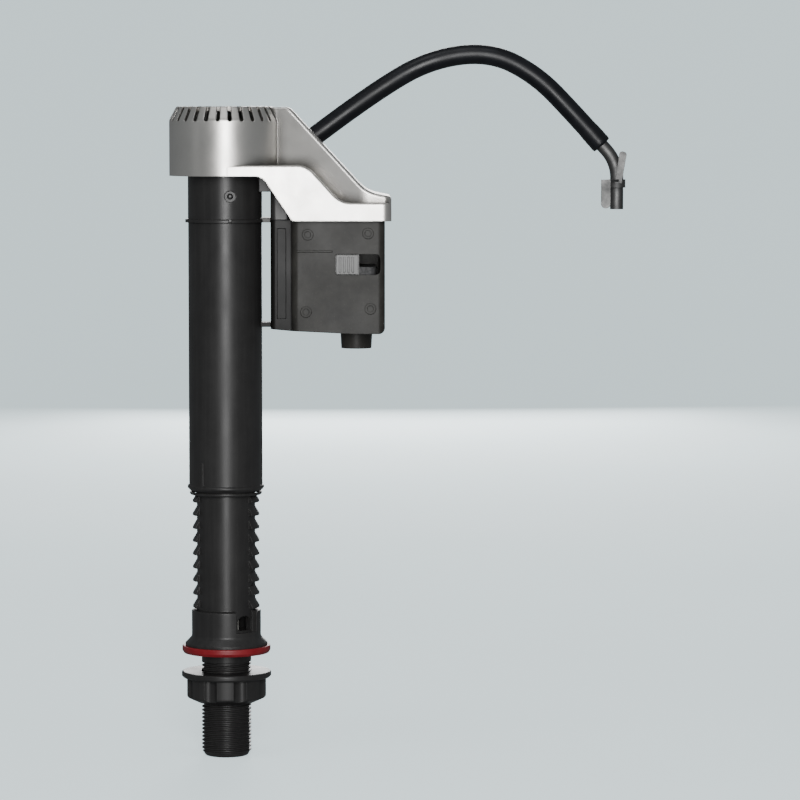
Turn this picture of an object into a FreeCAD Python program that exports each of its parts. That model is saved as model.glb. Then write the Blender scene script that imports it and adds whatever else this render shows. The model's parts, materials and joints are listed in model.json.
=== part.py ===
import FreeCAD, Part
import math
import os

from FreeCAD import Vector

# Toilet fill valve with a float cup. Lengths are millimetres and angles are degrees.
# Z is the valve's axis and Z = 0 is the tank's floor. The float cup lies towards +X,
# and the front of the valve faces -Y.

# ---------------------------------------------------------------- driving dimensions
WALL = 1.8
RUNNING = 0.08              # radial clearance of a piece that turns or slides in another
CLEAR = 0.3                 # least gap between other pieces that move past each other

# Threaded tail, 15/16 in by 14 threads to the inch
THREAD_PITCH = 25.4 / 14
THREAD_CREST = 11.9
THREAD_ROOT = 10.85
THREAD_TOP = -4.2
TAIL_END = -50.0

# Toothed tube that stands on the tank's floor
SHANK_R = 14.0
SHANK_BORE = 10.75
SHANK_TOP = 160.0
SEAT_T = 3.5                # the washer's thickness, and the flange's height above the floor
WASHER_R = 21.2
FLANGE_R = 19.7
COLLAR_R = 16.6
COLLAR_TOP = 20.5
NOTCH_BOTTOM = 10.7
OUTLET_ANGLES = (-49.0, 131.0)
ANNULUS_FLOOR = 8.0
TOOTH_PITCH = 6.35
TOOTH_FIRST = 22.0
TOOTH_COUNT = 21
TOOTH_TIP = 16.0
TOOTH_LAND = 0.8
TOOTH_SLOPE = 4.5           # from a tooth's flat shoulder up to where its slope ends
RACK_ANGLE = -4.5
SMOOTH_ANGLE = RACK_ANGLE + 90.0
RACK_SPREAD = 65.0
NOTCH_SPREAD = 44.0
NOTCH_HALF = 4.0            # half the width of the water's way out behind each notch
NOTCH_TOP = 18.6

# Water pipe inside the shank
PIPE_R = 6.0
PIPE_BORE = 4.2
PIPE_BOTTOM = -20.0
PIPE_TOP = 170.0
INLET_R = 6.5
INLET_CONE = -24.0
O_RING_HEIGHTS = (163.0, 167.0)
O_RING_R = 5.62
O_RING_SECTION = 0.63
SCREEN_BOTTOM = -19.5
SCREEN_TIP = -8.0
SCREEN_ROWS = (-16.0, -14.0, -12.0)
SCREEN_BARS = 6

# Lock nut under the tank's floor
NUT_TOP = -9.0
NUT_FLANGE_R = 21.5
NUT_FLANGE_T = 3.0
NUT_R = 19.0
NUT_BOTTOM = -24.0
NUT_LOBES = 8
SCALLOP_R = 4.0

# Smooth outer tube
TUBE_R = 17.6
TUBE_BORE = 16.35
TUBE_BOTTOM = 78.0
TUBE_TOP = 206.8
SPIGOT_R = 16.6
SPIGOT_BORE = 15.3
SPIGOT_TOP = 211.5
GUIDE_BOTTOM = 76.4
GUIDE_TOP = 86.0
LUG_TOOTH = 11              # the tooth whose shoulder the lugs lie under at this height
LUG_SPREAD = 60.0
KEY_SLACK = 5.0             # degrees that a key is narrower than the gap between the racks
MARK_ANGLE = -128.0
MARK_TOP = 92.5

# Head
RISER_R = 8.0
RISER_BORE = 6.3
RISER_BOTTOM = 80.0
HEAD_R = 17.7
HEAD_FLOOR = 222.0
BOWL_R = 22.0
BOWL_BORE = 20.0
BOWL_TOP = 238.0
SEAT_Z = 234.0
RIVET_X = 3.0
RIVET_SEAT_Y = -16.4
RIVET_Z = 219.4
DISC_R = 8.0
NOZZLE_TOP = 246.5
RIM_R = 19.9                # of the diaphragm and the bonnet's plug, inside the bowl
THROAT_R = 15.5
SEAT_R = 7.5
INFLOW_HOLES = 8
INFLOW_R = 1.9
INFLOW_AT = 12.7
BAR_Y = 6.0
TONGUE = (23.0, 28.5, 4.0, 12.0)    # left, right, half width and depth below the neck's top
BONNET_TOP = 243.0
EAR_Y0 = 4.2
EAR_Y1 = 6.2

# Lever, pivoted on the bonnet
PIVOT_X = 10.0
PIVOT_Z = 247.5
PIN_R = 1.5
LINK_X = 50.0
LINK_Z = 211.0
LINK_R = 1.4
LEVER_Y = 1.5
LEVER_R = 2.2
EYE_R = 4.4
HUB_R = 3.2
KNEE = (27.0, 245.0)
PAD_ARM_Z = 249.6

# Float
FLOAT_X0 = 36.0
FLOAT_X1 = 72.0
FLOAT_Y0 = -17.4
FLOAT_Y1 = 19.0
FLOAT_BOTTOM = 157.3
FLOAT_TOP = 186.0
FLOAT_RIM = 4.0
ROD_R = 2.2
ROD_FOOT = 178.0
FORK_X = 3.3                # half the fork's width
FORK_Y0 = 2.1
FORK_Y1 = 3.6

# Float cup
CUP_X0 = 32.0
CUP_X1 = 76.3
CUP_Y = 21.0
CUP_WALL = 1.6
CUP_BOTTOM = 154.4
CUP_TOP = 209.5
NECK_X = 21.9
NECK_Y = 11.0
NECK_BOTTOM = 156.2
NECK_TOP = 208.1
WINDOW_X0 = 52.9
WINDOW_X1 = 74.2
WINDOW_Z0 = 182.5
WINDOW_Z1 = 192.2
TAB_END = 63.6
SPOUT_X = 62.7
SPOUT_R = 7.2
SPOUT_BORE = 5.8
SPOUT_END = 146.6
DRAIN_R = 4.2
FLAP_Z = 151.2
FLAP_R = 5.3
CUP_CORNER = 3.4
CHANNEL_DEPTH = 0.9
BOSS_PLACES = ((39.8, 201.5), (68.3, 202.1), (69.4, 166.4), (38.9, 164.9))
RIDGES = (54.6, 56.6, 58.6, 60.6)

# Cap
CAP_R = 26.5
CAP_SHOULDER_R = 23.0
CAP_SHOULDER_Z = 255.5
CAP_TOP = 262.0
CAP_BOTTOM = 229.0
CAP_END_X = 79.4
ARM_Y = 8.0
ARM_WIDE_Y = 18.5
SKIRT_Y = 24.3               # at the far end; the skirt widens to meet the drum
SKIRT_BOTTOM = 207.9
VENT_FIRST = 29.2
VENT_STEP = 12.4
VENT_COUNT = 26
VENT_BOTTOM = 254.9
VENT_HALF = 1.0
DISH_R = 20.0
RIB_ANGLES = (90.0, 180.0, 270.0)

# Refill hose, which lies in one upright plane behind the cup
HOSE_Y = 34.0
HOSE_R = 4.75
HOSE_BORE = 3.4
ELBOW_X = 3.5
ELBOW_Z = 216.68
ELBOW_R = 4.1
ELBOW_BORE = 2.0
BARB_LENGTH = 13.0
BARBS = (3.0, 6.4, 9.8)
BOSS_R = 6.6
PORT_R = 4.2
HOSE_ROUTE = [
    (14.8, 225.8),
    (34.0, 241.3),
    (72.0, 269.2),
    (98.0, 284.5),
    (127.0, 288.5),
    (150.0, 277.3),
    (169.3, 257.3),
    (182.0, 243.1),
]
BEND_SHARE = 0.45

# Metal clip on the hose's far end
CLIP_R = 3.2
CLIP_BORE = 2.4
CLIP_X = 189.3
CLIP_BEND = 20.0
CLIP_END = 212.0
HOOK_X = 183.5
HOOK_GAP = 4.8              # between the spout and the tongue, front to back
HOOK_WIDTH = 4.6
HOOK_END = 212.6
BAND_LOW = 222.5
BAND_TOP = 226.5
HOOK_T = 1.0
SPOUT_IN_HOSE = 9.0
TAB_TOP = 240.5

ORIGIN = Vector(0, 0, 0)
UP = Vector(0, 0, 1)
ACROSS = Vector(0, 1, 0)


# ---------------------------------------------------------------- helpers
def side(x, z):
    """A point of an outline seen from the front."""
    return Vector(x, 0, z)


def plan(x, y):
    """A point of an outline seen from above."""
    return Vector(x, y, 0)


def end_on(y, z):
    """A point of an outline seen from the right."""
    return Vector(0, y, z)


def corner_arc(before, at, after, radius):
    """Start, middle and end of the arc that rounds the corner at a point."""
    back = (before - at).normalize()
    on = (after - at).normalize()
    half = back.getAngle(on) / 2
    inward = (back + on).normalize()
    centre = at + inward * (radius / math.sin(half))
    reach = radius / math.tan(half)
    return at + back * reach, centre - inward * radius, at + on * reach


def closed_wire(corners, place):
    """Closed outline through (a, b) corners, or (a, b, radius) where one is rounded."""
    points = [place(corner[0], corner[1]) for corner in corners]
    spans = []
    for i, corner in enumerate(corners):
        if len(corner) == 3:
            following = points[(i + 1) % len(points)]
            spans.append(corner_arc(points[i - 1], points[i], following, corner[2]))
        else:
            spans.append((points[i],))
    edges = []
    for i, span in enumerate(spans):
        if len(span) == 3:
            edges.append(Part.Arc(*span).toShape())
        start = spans[(i + 1) % len(spans)][0]
        if span[-1].distanceToPoint(start) > 1e-6:
            edges.append(Part.LineSegment(span[-1], start).toShape())
    return Part.Wire(edges)


def revolve(corners, middle=0.0, sweep=360.0):
    """Turn a (radius, height) outline about the valve's axis, evenly about an angle."""
    face = Part.Face(closed_wire(corners, side))
    return face.revolve(ORIGIN, UP, sweep).rotated(ORIGIN, UP, middle - sweep / 2)


def prism(corners, y0, y1):
    """Extrude an (x, z) outline from y0 to y1."""
    face = Part.Face(closed_wire(corners, side)).translated(Vector(0, y0, 0))
    return face.extrude(Vector(0, y1 - y0, 0))


def slab(corners, z0, z1):
    """Extrude an (x, y) outline from z0 to z1."""
    face = Part.Face(closed_wire(corners, plan)).translated(Vector(0, 0, z0))
    return face.extrude(Vector(0, 0, z1 - z0))


def radial_cut(corners, r0, r1, angle):
    """Extrude a (y, z) outline outwards from r0 to r1, then turn it to an angle."""
    face = Part.Face(closed_wire(corners, end_on)).translated(Vector(r0, 0, 0))
    return face.extrude(Vector(r1 - r0, 0, 0)).rotated(ORIGIN, UP, angle)


def block(x0, x1, y0, y1, z0, z1):
    return Part.makeBox(x1 - x0, y1 - y0, z1 - z0, Vector(x0, y0, z0))


def rod(radius, start, end):
    """Round bar between two points."""
    return Part.makeCylinder(radius, start.distanceToPoint(end), start, end - start)


def cross_rod(radius, x, z, y0, y1):
    """Round bar along Y."""
    return rod(radius, Vector(x, y0, z), Vector(x, y1, z))


def upright(radius, x, y, z0, z1):
    """Round bar along Z."""
    return rod(radius, Vector(x, y, z0), Vector(x, y, z1))


def ring(outer, inner, z0, z1):
    return revolve([(inner, z0), (outer, z0), (outer, z1), (inner, z1)])


def torus(radius, section, z):
    return Part.makeTorus(radius, section, Vector(0, 0, z), UP)


def obround(start, end, radius, y0, y1):
    """Bar with round ends between two (x, z) points, extruded along Y."""
    first = side(*start)
    last = side(*end)
    along = (last - first).normalize()
    off = Vector(-along.z, 0, along.x) * radius
    edges = [
        Part.LineSegment(first + off, last + off).toShape(),
        Part.Arc(last + off, last + along * radius, last - off).toShape(),
        Part.LineSegment(last - off, first - off).toShape(),
        Part.Arc(first - off, first - along * radius, first + off).toShape(),
    ]
    face = Part.Face(Part.Wire(edges)).translated(Vector(0, y0, 0))
    return face.extrude(Vector(0, y1 - y0, 0))


def fused(*shapes):
    return shapes[0].fuse(list(shapes[1:])).removeSplitter()


def save(node, *shapes):
    """Write one node, made of one solid or a few separate ones."""
    solids = [solid for shape in shapes for solid in shape.Solids]
    shape = solids[0] if len(solids) == 1 else Part.makeCompound(solids)
    if not shape.isValid():
        raise ValueError(node + " is not a valid shape")
    shape.exportStep("parts/" + node + ".step")
    print("%-15s solids %d  volume %9.1f" % (node, len(solids), shape.Volume))


# ---------------------------------------------------------------- shank
def thread():
    """Helical ridge of the tail, trimmed to a clean start and a chamfered end."""
    half_root = 0.42 * THREAD_PITCH
    half_crest = 0.10 * THREAD_PITCH
    inner = THREAD_ROOT - 0.3
    start = TAIL_END + 1.0
    outline = Part.makePolygon([
        Vector(inner, 0, -half_root),
        Vector(THREAD_CREST, 0, -half_crest),
        Vector(THREAD_CREST, 0, half_crest),
        Vector(inner, 0, half_root),
        Vector(inner, 0, -half_root),
    ])
    helix = Part.makeHelix(THREAD_PITCH, THREAD_TOP - start, THREAD_ROOT)
    sweep = Part.BRepOffsetAPI.MakePipeShell(Part.Wire(helix.Edges))
    sweep.setFrenetMode(True)
    sweep.add(outline)
    sweep.build()
    sweep.makeSolid()
    ridge = sweep.shape().translated(Vector(0, 0, start))
    envelope = revolve([
        (0, TAIL_END + 0.6),
        (THREAD_ROOT - 0.6, TAIL_END + 0.6),
        (THREAD_CREST + 0.5, TAIL_END + 3.2),
        (THREAD_CREST + 0.5, THREAD_TOP),
        (0, THREAD_TOP),
    ])
    return ridge.common(envelope)


def rack(angle):
    """Saw-toothed rib: each tooth slopes outwards downwards to a flat shoulder."""
    root = SHANK_R - 0.2
    outline = []
    for n in range(TOOTH_COUNT):
        z = TOOTH_FIRST + n * TOOTH_PITCH
        outline.append((root, z))
        outline.append((TOOTH_TIP, z))
        outline.append((TOOTH_TIP, z + TOOTH_LAND))
        outline.append((root, z + TOOTH_SLOPE))
    inner = SHANK_R - 1.2
    outline.append((inner, outline[-1][1]))
    outline.append((inner, TOOTH_FIRST))
    return revolve(outline, angle, RACK_SPREAD)


def shank_body():
    """Tube, flange and tail in one piece, with two notches in the collar where water leaves."""
    core = revolve([
        (SHANK_BORE, SHANK_TOP),
        (SHANK_BORE, ANNULUS_FLOOR),
        (PIPE_R, ANNULUS_FLOOR),
        (PIPE_R, PIPE_BOTTOM),
        (PIPE_BORE, PIPE_BOTTOM),
        (INLET_R, INLET_CONE),
        (INLET_R, TAIL_END),
        (THREAD_ROOT, TAIL_END, 1.6),
        (THREAD_ROOT, THREAD_TOP),
        (THREAD_CREST, THREAD_TOP),
        (THREAD_CREST, SEAT_T),
        (FLANGE_R, SEAT_T),
        (FLANGE_R, SEAT_T + 1.2),
        (COLLAR_R, SEAT_T + 4.4, 2.0),
        (COLLAR_R, COLLAR_TOP, 0.6),
        (SHANK_R, COLLAR_TOP + 0.6),
        (SHANK_R, SHANK_TOP, 0.6),
    ])
    sill = NOTCH_BOTTOM + 0.9
    window = [
        (-NOTCH_HALF, sill),
        (NOTCH_HALF, sill),
        (NOTCH_HALF, NOTCH_TOP, 3.4),
        (-NOTCH_HALF, NOTCH_TOP, 3.4),
    ]
    cuts = []
    for angle in OUTLET_ANGLES:
        cuts.append(radial_cut(window, SHANK_BORE - 2.0, COLLAR_R + 2.0, angle))
        cuts.append(revolve([
            (SHANK_R, NOTCH_BOTTOM),
            (COLLAR_R + 1.0, NOTCH_BOTTOM),
            (COLLAR_R + 1.0, COLLAR_TOP + 1.0),
            (SHANK_R, COLLAR_TOP + 1.0),
        ], angle, NOTCH_SPREAD))
    return fused(core.cut(cuts), thread(), rack(RACK_ANGLE), rack(RACK_ANGLE + 180.0))


def shank_washer():
    return revolve([
        (THREAD_CREST, 0.0),
        (WASHER_R - 0.8, 0.0),
        (WASHER_R, 1.2, 0.6),
        (WASHER_R, SEAT_T, 0.6),
        (THREAD_CREST, SEAT_T),
    ])


def lock_nut():
    """Flanged nut with gripping lobes and a chamfered end."""
    bore = THREAD_CREST + RUNNING
    flange = revolve([
        (bore, NUT_TOP - NUT_FLANGE_T),
        (NUT_FLANGE_R - 0.8, NUT_TOP - NUT_FLANGE_T),
        (NUT_FLANGE_R, NUT_TOP - NUT_FLANGE_T + 0.8),
        (NUT_FLANGE_R, NUT_TOP, 0.8),
        (bore, NUT_TOP),
    ])
    body = revolve([
        (bore + 0.8, NUT_BOTTOM),
        (NUT_R - 5.2, NUT_BOTTOM, 0.8),
        (NUT_R, NUT_BOTTOM + 2.4, 1.2),
        (NUT_R, NUT_TOP - 1.0),
        (bore, NUT_TOP - 1.0),
        (bore, NUT_BOTTOM + 0.8),
    ])
    scallops = []
    for n in range(NUT_LOBES):
        scallop = upright(SCALLOP_R, NUT_R + 2.0, 0.0, NUT_BOTTOM - 1.0, NUT_TOP - NUT_FLANGE_T)
        scallops.append(scallop.rotated(ORIGIN, UP, (n + 0.5) * 360.0 / NUT_LOBES))
    return fused(flange, body.cut(scallops))


def inlet_pipe():
    body = revolve([
        (PIPE_BORE, PIPE_BOTTOM),
        (PIPE_R, PIPE_BOTTOM),
        (PIPE_R, PIPE_TOP, 0.8),
        (PIPE_BORE, PIPE_TOP),
    ])
    floor = O_RING_R - O_RING_SECTION - 0.02
    return body.cut([ring(PIPE_R + 1.0, floor, z - 0.75, z + 0.75) for z in O_RING_HEIGHTS])


def inlet_o_rings():
    return [torus(O_RING_R, O_RING_SECTION, z) for z in O_RING_HEIGHTS]


def inlet_screen():
    """Conical strainer basket, open at the bottom."""
    cone = revolve([
        (PIPE_BORE - 1.2, SCREEN_BOTTOM),
        (PIPE_BORE, SCREEN_BOTTOM),
        (PIPE_BORE, SCREEN_BOTTOM + 2.0),
        (PIPE_BORE - 0.9, SCREEN_BOTTOM + 2.0),
        (1.7, SCREEN_TIP),
        (0.0, SCREEN_TIP),
        (0.0, SCREEN_TIP - 1.2),
        (1.0, SCREEN_TIP - 1.2),
    ])
    slots = []
    for z in SCREEN_ROWS:
        for n in range(SCREEN_BARS):
            slot = block(0.0, PIPE_R, -0.45, 0.45, z, z + 1.1)
            slots.append(slot.rotated(ORIGIN, UP, n * 360.0 / SCREEN_BARS))
    return cone.cut(slots)


# ---------------------------------------------------------------- outer tube
def lug(angle):
    """Wedge inside the outer tube that turns in under a tooth's shoulder."""
    shoulder = TOOTH_FIRST + LUG_TOOTH * TOOTH_PITCH
    inner = SHANK_R + 2 * CLEAR
    return revolve([
        (inner, shoulder - 0.4),
        (TUBE_BORE + 0.5, shoulder - 0.4),
        (TUBE_BORE + 0.5, shoulder - 4.9),
        (TOOTH_TIP, shoulder - 4.5),
        (inner, shoulder - 1.7),
    ], angle, LUG_SPREAD)


def upper_tube():
    """Outer tube with a flared lip below, a marker rib on it and a spigot for the head above."""
    shell = revolve([
        (TUBE_BORE, TUBE_BOTTOM),
        (TUBE_BORE + 0.3, TUBE_BOTTOM),
        (TUBE_R + 0.7, TUBE_BOTTOM + 1.7, 0.4),
        (TUBE_R + 0.7, TUBE_BOTTOM + 2.8, 0.4),
        (TUBE_R, TUBE_BOTTOM + 3.2),
        (TUBE_R, TUBE_TOP),
        (SPIGOT_R, TUBE_TOP),
        (SPIGOT_R, SPIGOT_TOP),
        (SPIGOT_BORE, SPIGOT_TOP),
        (SPIGOT_BORE, TUBE_TOP - 0.5),
        (TUBE_BORE, TUBE_TOP - 2.5),
    ])
    groove = ring(TUBE_BORE + 0.5, TUBE_BORE - 1.0, GUIDE_TOP - 3.3, GUIDE_TOP - 1.2)
    rib = block(TUBE_R - 0.8, TUBE_R + 0.6, -0.8, 0.8, TUBE_BOTTOM + 2.0, MARK_TOP)
    rib = rib.rotated(ORIGIN, UP, MARK_ANGLE)
    return fused(shell.cut(groove), rib, lug(SMOOTH_ANGLE), lug(SMOOTH_ANGLE + 180.0))


def guide_ring():
    """Ring under the outer tube, keyed between the racks by two sleeves."""
    ring_top = TUBE_BOTTOM - CLEAR
    outer = TUBE_BORE - RUNNING
    pieces = [revolve([
        (TUBE_BORE, GUIDE_BOTTOM),
        (TUBE_R - 0.8, GUIDE_BOTTOM),
        (TUBE_R - 0.3, GUIDE_BOTTOM + 0.5),
        (TUBE_R - 0.3, ring_top),
        (TUBE_BORE, ring_top),
    ])]
    for angle in (SMOOTH_ANGLE, SMOOTH_ANGLE + 180.0):
        sleeve = revolve([
            (SHANK_R + RUNNING, GUIDE_BOTTOM),
            (TUBE_R - 1.0, GUIDE_BOTTOM),
            (TUBE_R - 1.0, ring_top),
            (outer, ring_top),
            (outer, GUIDE_TOP - 2.9),
            (outer + 0.25, GUIDE_TOP - 2.5),
            (outer + 0.25, GUIDE_TOP - 2.1),
            (outer, GUIDE_TOP - 1.6),
            (outer, GUIDE_TOP),
            (SHANK_R + RUNNING, GUIDE_TOP),
        ], angle, 180.0 - RACK_SPREAD - KEY_SLACK)
        pieces.append(sleeve)
    return fused(*pieces)


def riser_tube():
    return revolve([
        (RISER_BORE, RISER_BOTTOM),
        (RISER_R, RISER_BOTTOM, 0.6),
        (RISER_R, HEAD_FLOOR),
        (RISER_BORE, HEAD_FLOOR),
    ])


# ---------------------------------------------------------------- head
def head_shell(bottom):
    """Collar on the outer tube, floor, inlet seat and the bowl that holds the diaphragm."""
    return revolve([
        (SPIGOT_R + 0.05, bottom),
        (HEAD_R + 1.3, bottom),
        (HEAD_R + 1.3, bottom + 1.6, 0.5),
        (HEAD_R, bottom + 1.6),
        (HEAD_R, CAP_BOTTOM + 0.5),
        (BOWL_R, CAP_BOTTOM + 3.5),
        (BOWL_R, BOWL_TOP),
        (BOWL_BORE, BOWL_TOP),
        (BOWL_BORE, SEAT_Z),
        (THROAT_R, SEAT_Z),
        (THROAT_R, HEAD_FLOOR + 4.0),
        (SEAT_R, HEAD_FLOOR + 4.0),
        (SEAT_R, SEAT_Z - 1.0),
        (6.4, SEAT_Z),
        (5.0, SEAT_Z),
        (5.0, HEAD_FLOOR + 0.05),
        (RISER_R + 0.03, HEAD_FLOOR + 0.05),
        (RISER_R + 0.03, HEAD_FLOOR - 8.0),
        (RISER_R + 2.0, HEAD_FLOOR - 8.0),
        (RISER_R + 2.0, HEAD_FLOOR),
        (SPIGOT_BORE, HEAD_FLOOR),
        (SPIGOT_BORE, SPIGOT_TOP + 0.05),
        (SPIGOT_R + 0.05, SPIGOT_TOP + 0.05),
    ])


def head_bar(bottom):
    """Bar from the collar to the cup's neck, stepped over the neck's top."""
    return prism([
        (HEAD_R - 0.6, bottom),
        (NECK_X - 0.1, bottom),
        (NECK_X - 0.1, NECK_TOP + 0.1),
        (NECK_X + 3.0, NECK_TOP + 0.1),
        (NECK_X + 3.0, NECK_TOP + 1.0),
        (HEAD_R - 0.6, NECK_TOP + 1.0),
    ], -BAR_Y, BAR_Y)


def valve_body():
    """Head with the web, bar and tongue that carry the float cup and a boss for the elbow."""
    bottom = TUBE_TOP + 0.05
    shell = head_shell(bottom)
    web = block(NECK_X, CUP_X0 - 0.2, -NECK_Y, NECK_Y, NECK_TOP + 0.1, CAP_BOTTOM)
    web = web.makeFillet(2.5, [edge for edge in web.Edges if abs(edge.tangentAt(0).z) > 0.9])
    bridge = block(HEAD_R - 1.2, NECK_X + 3.0, -NECK_Y + 2.5, NECK_Y - 2.5, 221.5, CAP_BOTTOM)
    pip = block(RIVET_X - 0.7, RIVET_X + 0.7, -HEAD_R - 1.9, -HEAD_R, bottom + 0.4, bottom + 1.8)
    left, right, half, depth = TONGUE
    tongue = block(left, right, -half, half, NECK_TOP - depth, NECK_TOP + 1.0)
    boss = cross_rod(BOSS_R, ELBOW_X, ELBOW_Z, 14.0, 22.0)
    body = fused(shell, web, bridge, head_bar(bottom), pip, tongue, boss)
    cavity = Part.makeCylinder(SPIGOT_BORE, HEAD_FLOOR - SPIGOT_TOP, Vector(0, 0, SPIGOT_TOP))
    cavity = cavity.cut(Part.makeCylinder(RISER_R + 2.0, HEAD_FLOOR, ORIGIN))
    hole = upright(INFLOW_R, INFLOW_AT, 0, HEAD_FLOOR - 1.0, HEAD_FLOOR + 5.0)
    holes = [hole.rotated(ORIGIN, UP, n * 360.0 / INFLOW_HOLES) for n in range(INFLOW_HOLES)]
    port = cross_rod(PORT_R, ELBOW_X, ELBOW_Z, 10.5, 23.0)
    spigot_room = upright(SPIGOT_R + 0.05, 0, 0, TUBE_TOP - 1.0, SPIGOT_TOP + 0.05)
    recess = cross_rod(2.7, RIVET_X, RIVET_Z, -19.0, RIVET_SEAT_Y)
    rivet_hole = cross_rod(1.0, RIVET_X, RIVET_Z, -19.0, RIVET_SEAT_Y + 1.0)
    return body.cut([cavity, port, spigot_room, recess, rivet_hole] + holes)


def head_rivet():
    """Dome-headed pin in the round recess at the front of the head."""
    top = RIVET_SEAT_Y - 0.05
    dome = Part.makeSphere(1.5, Vector(RIVET_X, top + 0.3, RIVET_Z))
    dome = dome.cut(block(RIVET_X - 2.0, RIVET_X + 2.0, top, top + 3.0, RIVET_Z - 2.0, RIVET_Z + 2.0))
    return fused(dome, cross_rod(0.95, RIVET_X, RIVET_Z, top - 0.5, RIVET_SEAT_Y + 0.95))


def diaphragm():
    """Rubber membrane, clamped at its rim, with a hole for the disc."""
    return revolve([
        (THROAT_R + 0.1, SEAT_Z),
        (RIM_R, SEAT_Z),
        (RIM_R, SEAT_Z + 2.4),
        (THROAT_R + 0.1, SEAT_Z + 2.4),
        (14.4, SEAT_Z + 1.8),
        (DISC_R + 0.45, SEAT_Z + 1.8),
        (DISC_R + 0.45, SEAT_Z + 0.9),
        (14.4, SEAT_Z + 0.9),
    ])


def valve_disc():
    return revolve([
        (0.0, SEAT_Z + 0.1),
        (DISC_R, SEAT_Z + 0.1),
        (DISC_R, SEAT_Z + 2.4, 0.5),
        (3.0, SEAT_Z + 2.4),
        (3.0, SEAT_Z + 3.4),
        (0.0, SEAT_Z + 3.4),
    ])


def bonnet():
    body = revolve([
        (THROAT_R, SEAT_Z + 2.45),
        (RIM_R, SEAT_Z + 2.45),
        (RIM_R, BOWL_TOP + 0.05),
        (BOWL_R, BOWL_TOP + 0.05),
        (BOWL_R, BONNET_TOP - 3.0, 0.6),
        (18.0, BONNET_TOP - 3.0),
        (15.0, BONNET_TOP),
        (2.2, BONNET_TOP),
        (2.2, NOZZLE_TOP - 1.2),
        (1.5, NOZZLE_TOP),
        (0.6, NOZZLE_TOP),
        (0.6, BONNET_TOP - 2.5),
        (THROAT_R, BONNET_TOP - 2.5),
    ])
    body = body.cut(ring(BOWL_R - 1.0, RIM_R - 1.2, SEAT_Z + 2.75, SEAT_Z + 3.95))
    ear = [
        (PIVOT_X - 3.5, BONNET_TOP - 1.0),
        (PIVOT_X + 3.5, BONNET_TOP - 1.0),
        (PIVOT_X + 3.5, PIVOT_Z + 3.5, 3.4),
        (PIVOT_X - 3.5, PIVOT_Z + 3.5, 3.4),
    ]
    body = fused(body, prism(ear, -EAR_Y1, -EAR_Y0), prism(ear, EAR_Y0, EAR_Y1))
    return body.cut(cross_rod(PIN_R, PIVOT_X, PIVOT_Z, -8.0, 8.0))


def bonnet_o_ring():
    return torus(RIM_R - 0.6, 0.58, SEAT_Z + 3.35)


def lever_pin():
    head = cross_rod(PIN_R + 0.9, PIVOT_X, PIVOT_Z, -EAR_Y1 - 1.2, -EAR_Y1 - 0.05)
    return fused(head, cross_rod(PIN_R, PIVOT_X, PIVOT_Z, -EAR_Y1 - 1.2, EAR_Y1 + 1.0))


# ---------------------------------------------------------------- lever and float
def along_lever(distance):
    """Point of the straight line from the pivot to the link, in (x, z)."""
    angle = math.atan2(LINK_Z - PIVOT_Z, LINK_X - PIVOT_X)
    return PIVOT_X + distance * math.cos(angle), PIVOT_Z + distance * math.sin(angle)


def lever():
    """Cranked lever with a pad arm, a hub and a slotted end that the link pin slides in."""
    slot_start = along_lever(46.0)
    slot_end = along_lever(56.5)
    hub = cross_rod(HUB_R, PIVOT_X, PIVOT_Z, -3.6, 3.6)
    pad_arm = block(-2.6, PIVOT_X, -2.5, 2.5, PAD_ARM_Z, PAD_ARM_Z + 2.0)
    pad_knee = block(PIVOT_X - 3.0, PIVOT_X + 1.0, -2.5, 2.5, PIVOT_Z + 0.3, PAD_ARM_Z + 2.0)
    upper = obround((PIVOT_X, PIVOT_Z), KNEE, LEVER_R, -LEVER_Y, LEVER_Y)
    lower = obround(KNEE, slot_start, LEVER_R, -LEVER_Y, LEVER_Y)
    eye = obround(slot_start, slot_end, EYE_R, -LEVER_Y, LEVER_Y)
    body = fused(hub, pad_arm, pad_knee, upper, lower, eye)
    bore = cross_rod(PIN_R + RUNNING, PIVOT_X, PIVOT_Z, -6.0, 6.0)
    slot = obround(slot_start, slot_end, LINK_R + 0.6, -3.0, 3.0)
    return body.cut([bore, slot])


def pilot_pad():
    bottom = PAD_ARM_Z - 1.0
    return revolve([(0.0, bottom), (1.8, bottom, 0.3), (1.8, PAD_ARM_Z), (0.0, PAD_ARM_Z)])


def float_block():
    """Closed foam float with a shallow hollow below and a boss for the rod."""
    body = block(FLOAT_X0, FLOAT_X1, FLOAT_Y0, FLOAT_Y1, FLOAT_BOTTOM, FLOAT_TOP)
    uprights = [edge for edge in body.Edges if abs(edge.tangentAt(0).z) > 0.9]
    body = body.makeFillet(3.0, uprights)
    hollow = block(FLOAT_X0 + FLOAT_RIM, FLOAT_X1 - FLOAT_RIM, FLOAT_Y0 + FLOAT_RIM, FLOAT_Y1 - FLOAT_RIM,
                   FLOAT_BOTTOM - 1.0, FLOAT_BOTTOM + 2.0)
    boss = upright(5.0, LINK_X, 0, FLOAT_TOP - 1.0, FLOAT_TOP + 2.5)
    socket = upright(ROD_R + 0.05, LINK_X, 0, ROD_FOOT - 0.05, FLOAT_TOP + 4.0)
    return fused(body.cut(hollow), boss).cut(socket)


def float_rod():
    """Stem in the float with a fork above, between whose cheeks the lever's end lies."""
    left = LINK_X - FORK_X
    right = LINK_X + FORK_X
    fork_floor = LINK_Z - 8.8
    stem = upright(ROD_R, LINK_X, 0, ROD_FOOT, fork_floor - 2.2)
    base = block(left, right, -FORK_Y1, FORK_Y1, fork_floor - 3.2, fork_floor)
    cheek = [
        (left, fork_floor - 1.2),
        (right, fork_floor - 1.2),
        (right, LINK_Z + 4.0, 3.2),
        (left, LINK_Z + 4.0, 3.2),
    ]
    body = fused(stem, base, prism(cheek, -FORK_Y1, -FORK_Y0), prism(cheek, FORK_Y0, FORK_Y1))
    return body.cut(cross_rod(LINK_R, LINK_X, LINK_Z, -5.0, 5.0))


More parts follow.
